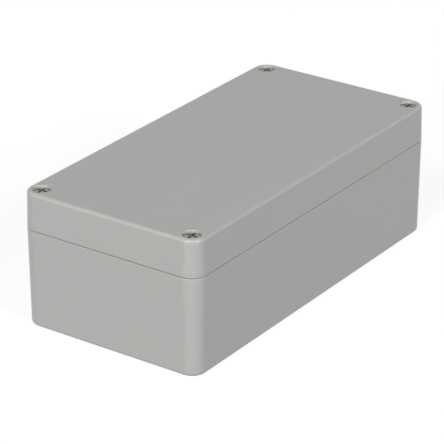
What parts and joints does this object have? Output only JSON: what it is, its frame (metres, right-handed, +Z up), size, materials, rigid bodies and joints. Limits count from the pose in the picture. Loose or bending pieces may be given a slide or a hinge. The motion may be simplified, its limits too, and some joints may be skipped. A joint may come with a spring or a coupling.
{
  "type": "screw-lid plastic enclosure",
  "caption": "Rectangular moulded plastic enclosure for electronics: drafted base, flat lid on a sealing tongue and groove, and captive corner screws sunk in round recesses.",
  "frame": {"origin": "centre of the underside", "axes": "+X along the length, +Y across the width towards the rear, +Z up through the lid"},
  "size_m": [0.16, 0.08, 0.055],
  "materials": {
    "enclosure_plastic": "fine satin moulding",
    "gasket_rubber": "matt",
    "screw_steel": "turned and tumbled stainless",
    "washer_nylon": "natural",
    "insert_brass": "turned"
  },
  "bodies": {
    "base": {"base": "enclosure_plastic", "lid_insert_front_left": "insert_brass", "lid_insert_front_right": "insert_brass", "lid_insert_rear_left": "insert_brass", "lid_insert_rear_right": "insert_brass", "board_insert_front_left": "insert_brass", "board_insert_front_right": "insert_brass", "board_insert_rear_left": "insert_brass", "board_insert_rear_right": "insert_brass"},
    "lid": {"lid": "enclosure_plastic", "gasket": "gasket_rubber"},
    "washer_front_left": {"retaining_washer_front_left": "washer_nylon"},
    "screw_front_left": {"lid_screw_front_left": "screw_steel"},
    "washer_front_right": {"retaining_washer_front_right": "washer_nylon"},
    "screw_front_right": {"lid_screw_front_right": "screw_steel"},
    "washer_rear_left": {"retaining_washer_rear_left": "washer_nylon"},
    "screw_rear_left": {"lid_screw_rear_left": "screw_steel"},
    "washer_rear_right": {"retaining_washer_rear_right": "washer_nylon"},
    "screw_rear_right": {"lid_screw_rear_right": "screw_steel"}
  },
  "joints": [
    {"name": "lid_lift", "type": "slide", "parent": "base", "child": "lid", "axis": [0, 0, 1], "range_m": [0, 0.04]},
    {"name": "screw_front_left_rise", "type": "slide", "parent": "lid", "child": "washer_front_left", "axis": [0, 0, 1], "range_m": [0, 0.007]},
    {"name": "screw_front_left_turn", "type": "hinge", "parent": "washer_front_left", "child": "screw_front_left", "pos_m": [-0.074, -0.034, 0.054], "axis": [0, 0, 1], "range_deg": [0, 3600]},
    {"name": "screw_front_right_rise", "type": "slide", "parent": "lid", "child": "washer_front_right", "axis": [0, 0, 1], "range_m": [0, 0.007]},
    {"name": "screw_front_right_turn", "type": "hinge", "parent": "washer_front_right", "child": "screw_front_right", "pos_m": [0.074, -0.034, 0.054], "axis": [0, 0, 1], "range_deg": [0, 3600]},
    {"name": "screw_rear_left_rise", "type": "slide", "parent": "lid", "child": "washer_rear_left", "axis": [0, 0, 1], "range_m": [0, 0.007]},
    {"name": "screw_rear_left_turn", "type": "hinge", "parent": "washer_rear_left", "child": "screw_rear_left", "pos_m": [-0.074, 0.034, 0.054], "axis": [0, 0, 1], "range_deg": [0, 3600]},
    {"name": "screw_rear_right_rise", "type": "slide", "parent": "lid", "child": "washer_rear_right", "axis": [0, 0, 1], "range_m": [0, 0.007]},
    {"name": "screw_rear_right_turn", "type": "hinge", "parent": "washer_rear_right", "child": "screw_rear_right", "pos_m": [0.074, 0.034, 0.054], "axis": [0, 0, 1], "range_deg": [0, 3600]}
  ],
  "couplings": [
    {"joint": "screw_front_left_turn", "follows": "screw_front_left_rise", "rad_per_m": 8976},
    {"joint": "screw_front_right_turn", "follows": "screw_front_right_rise", "rad_per_m": 8976},
    {"joint": "screw_rear_left_turn", "follows": "screw_rear_left_rise", "rad_per_m": 8976},
    {"joint": "screw_rear_right_turn", "follows": "screw_rear_right_rise", "rad_per_m": 8976}
  ]
}
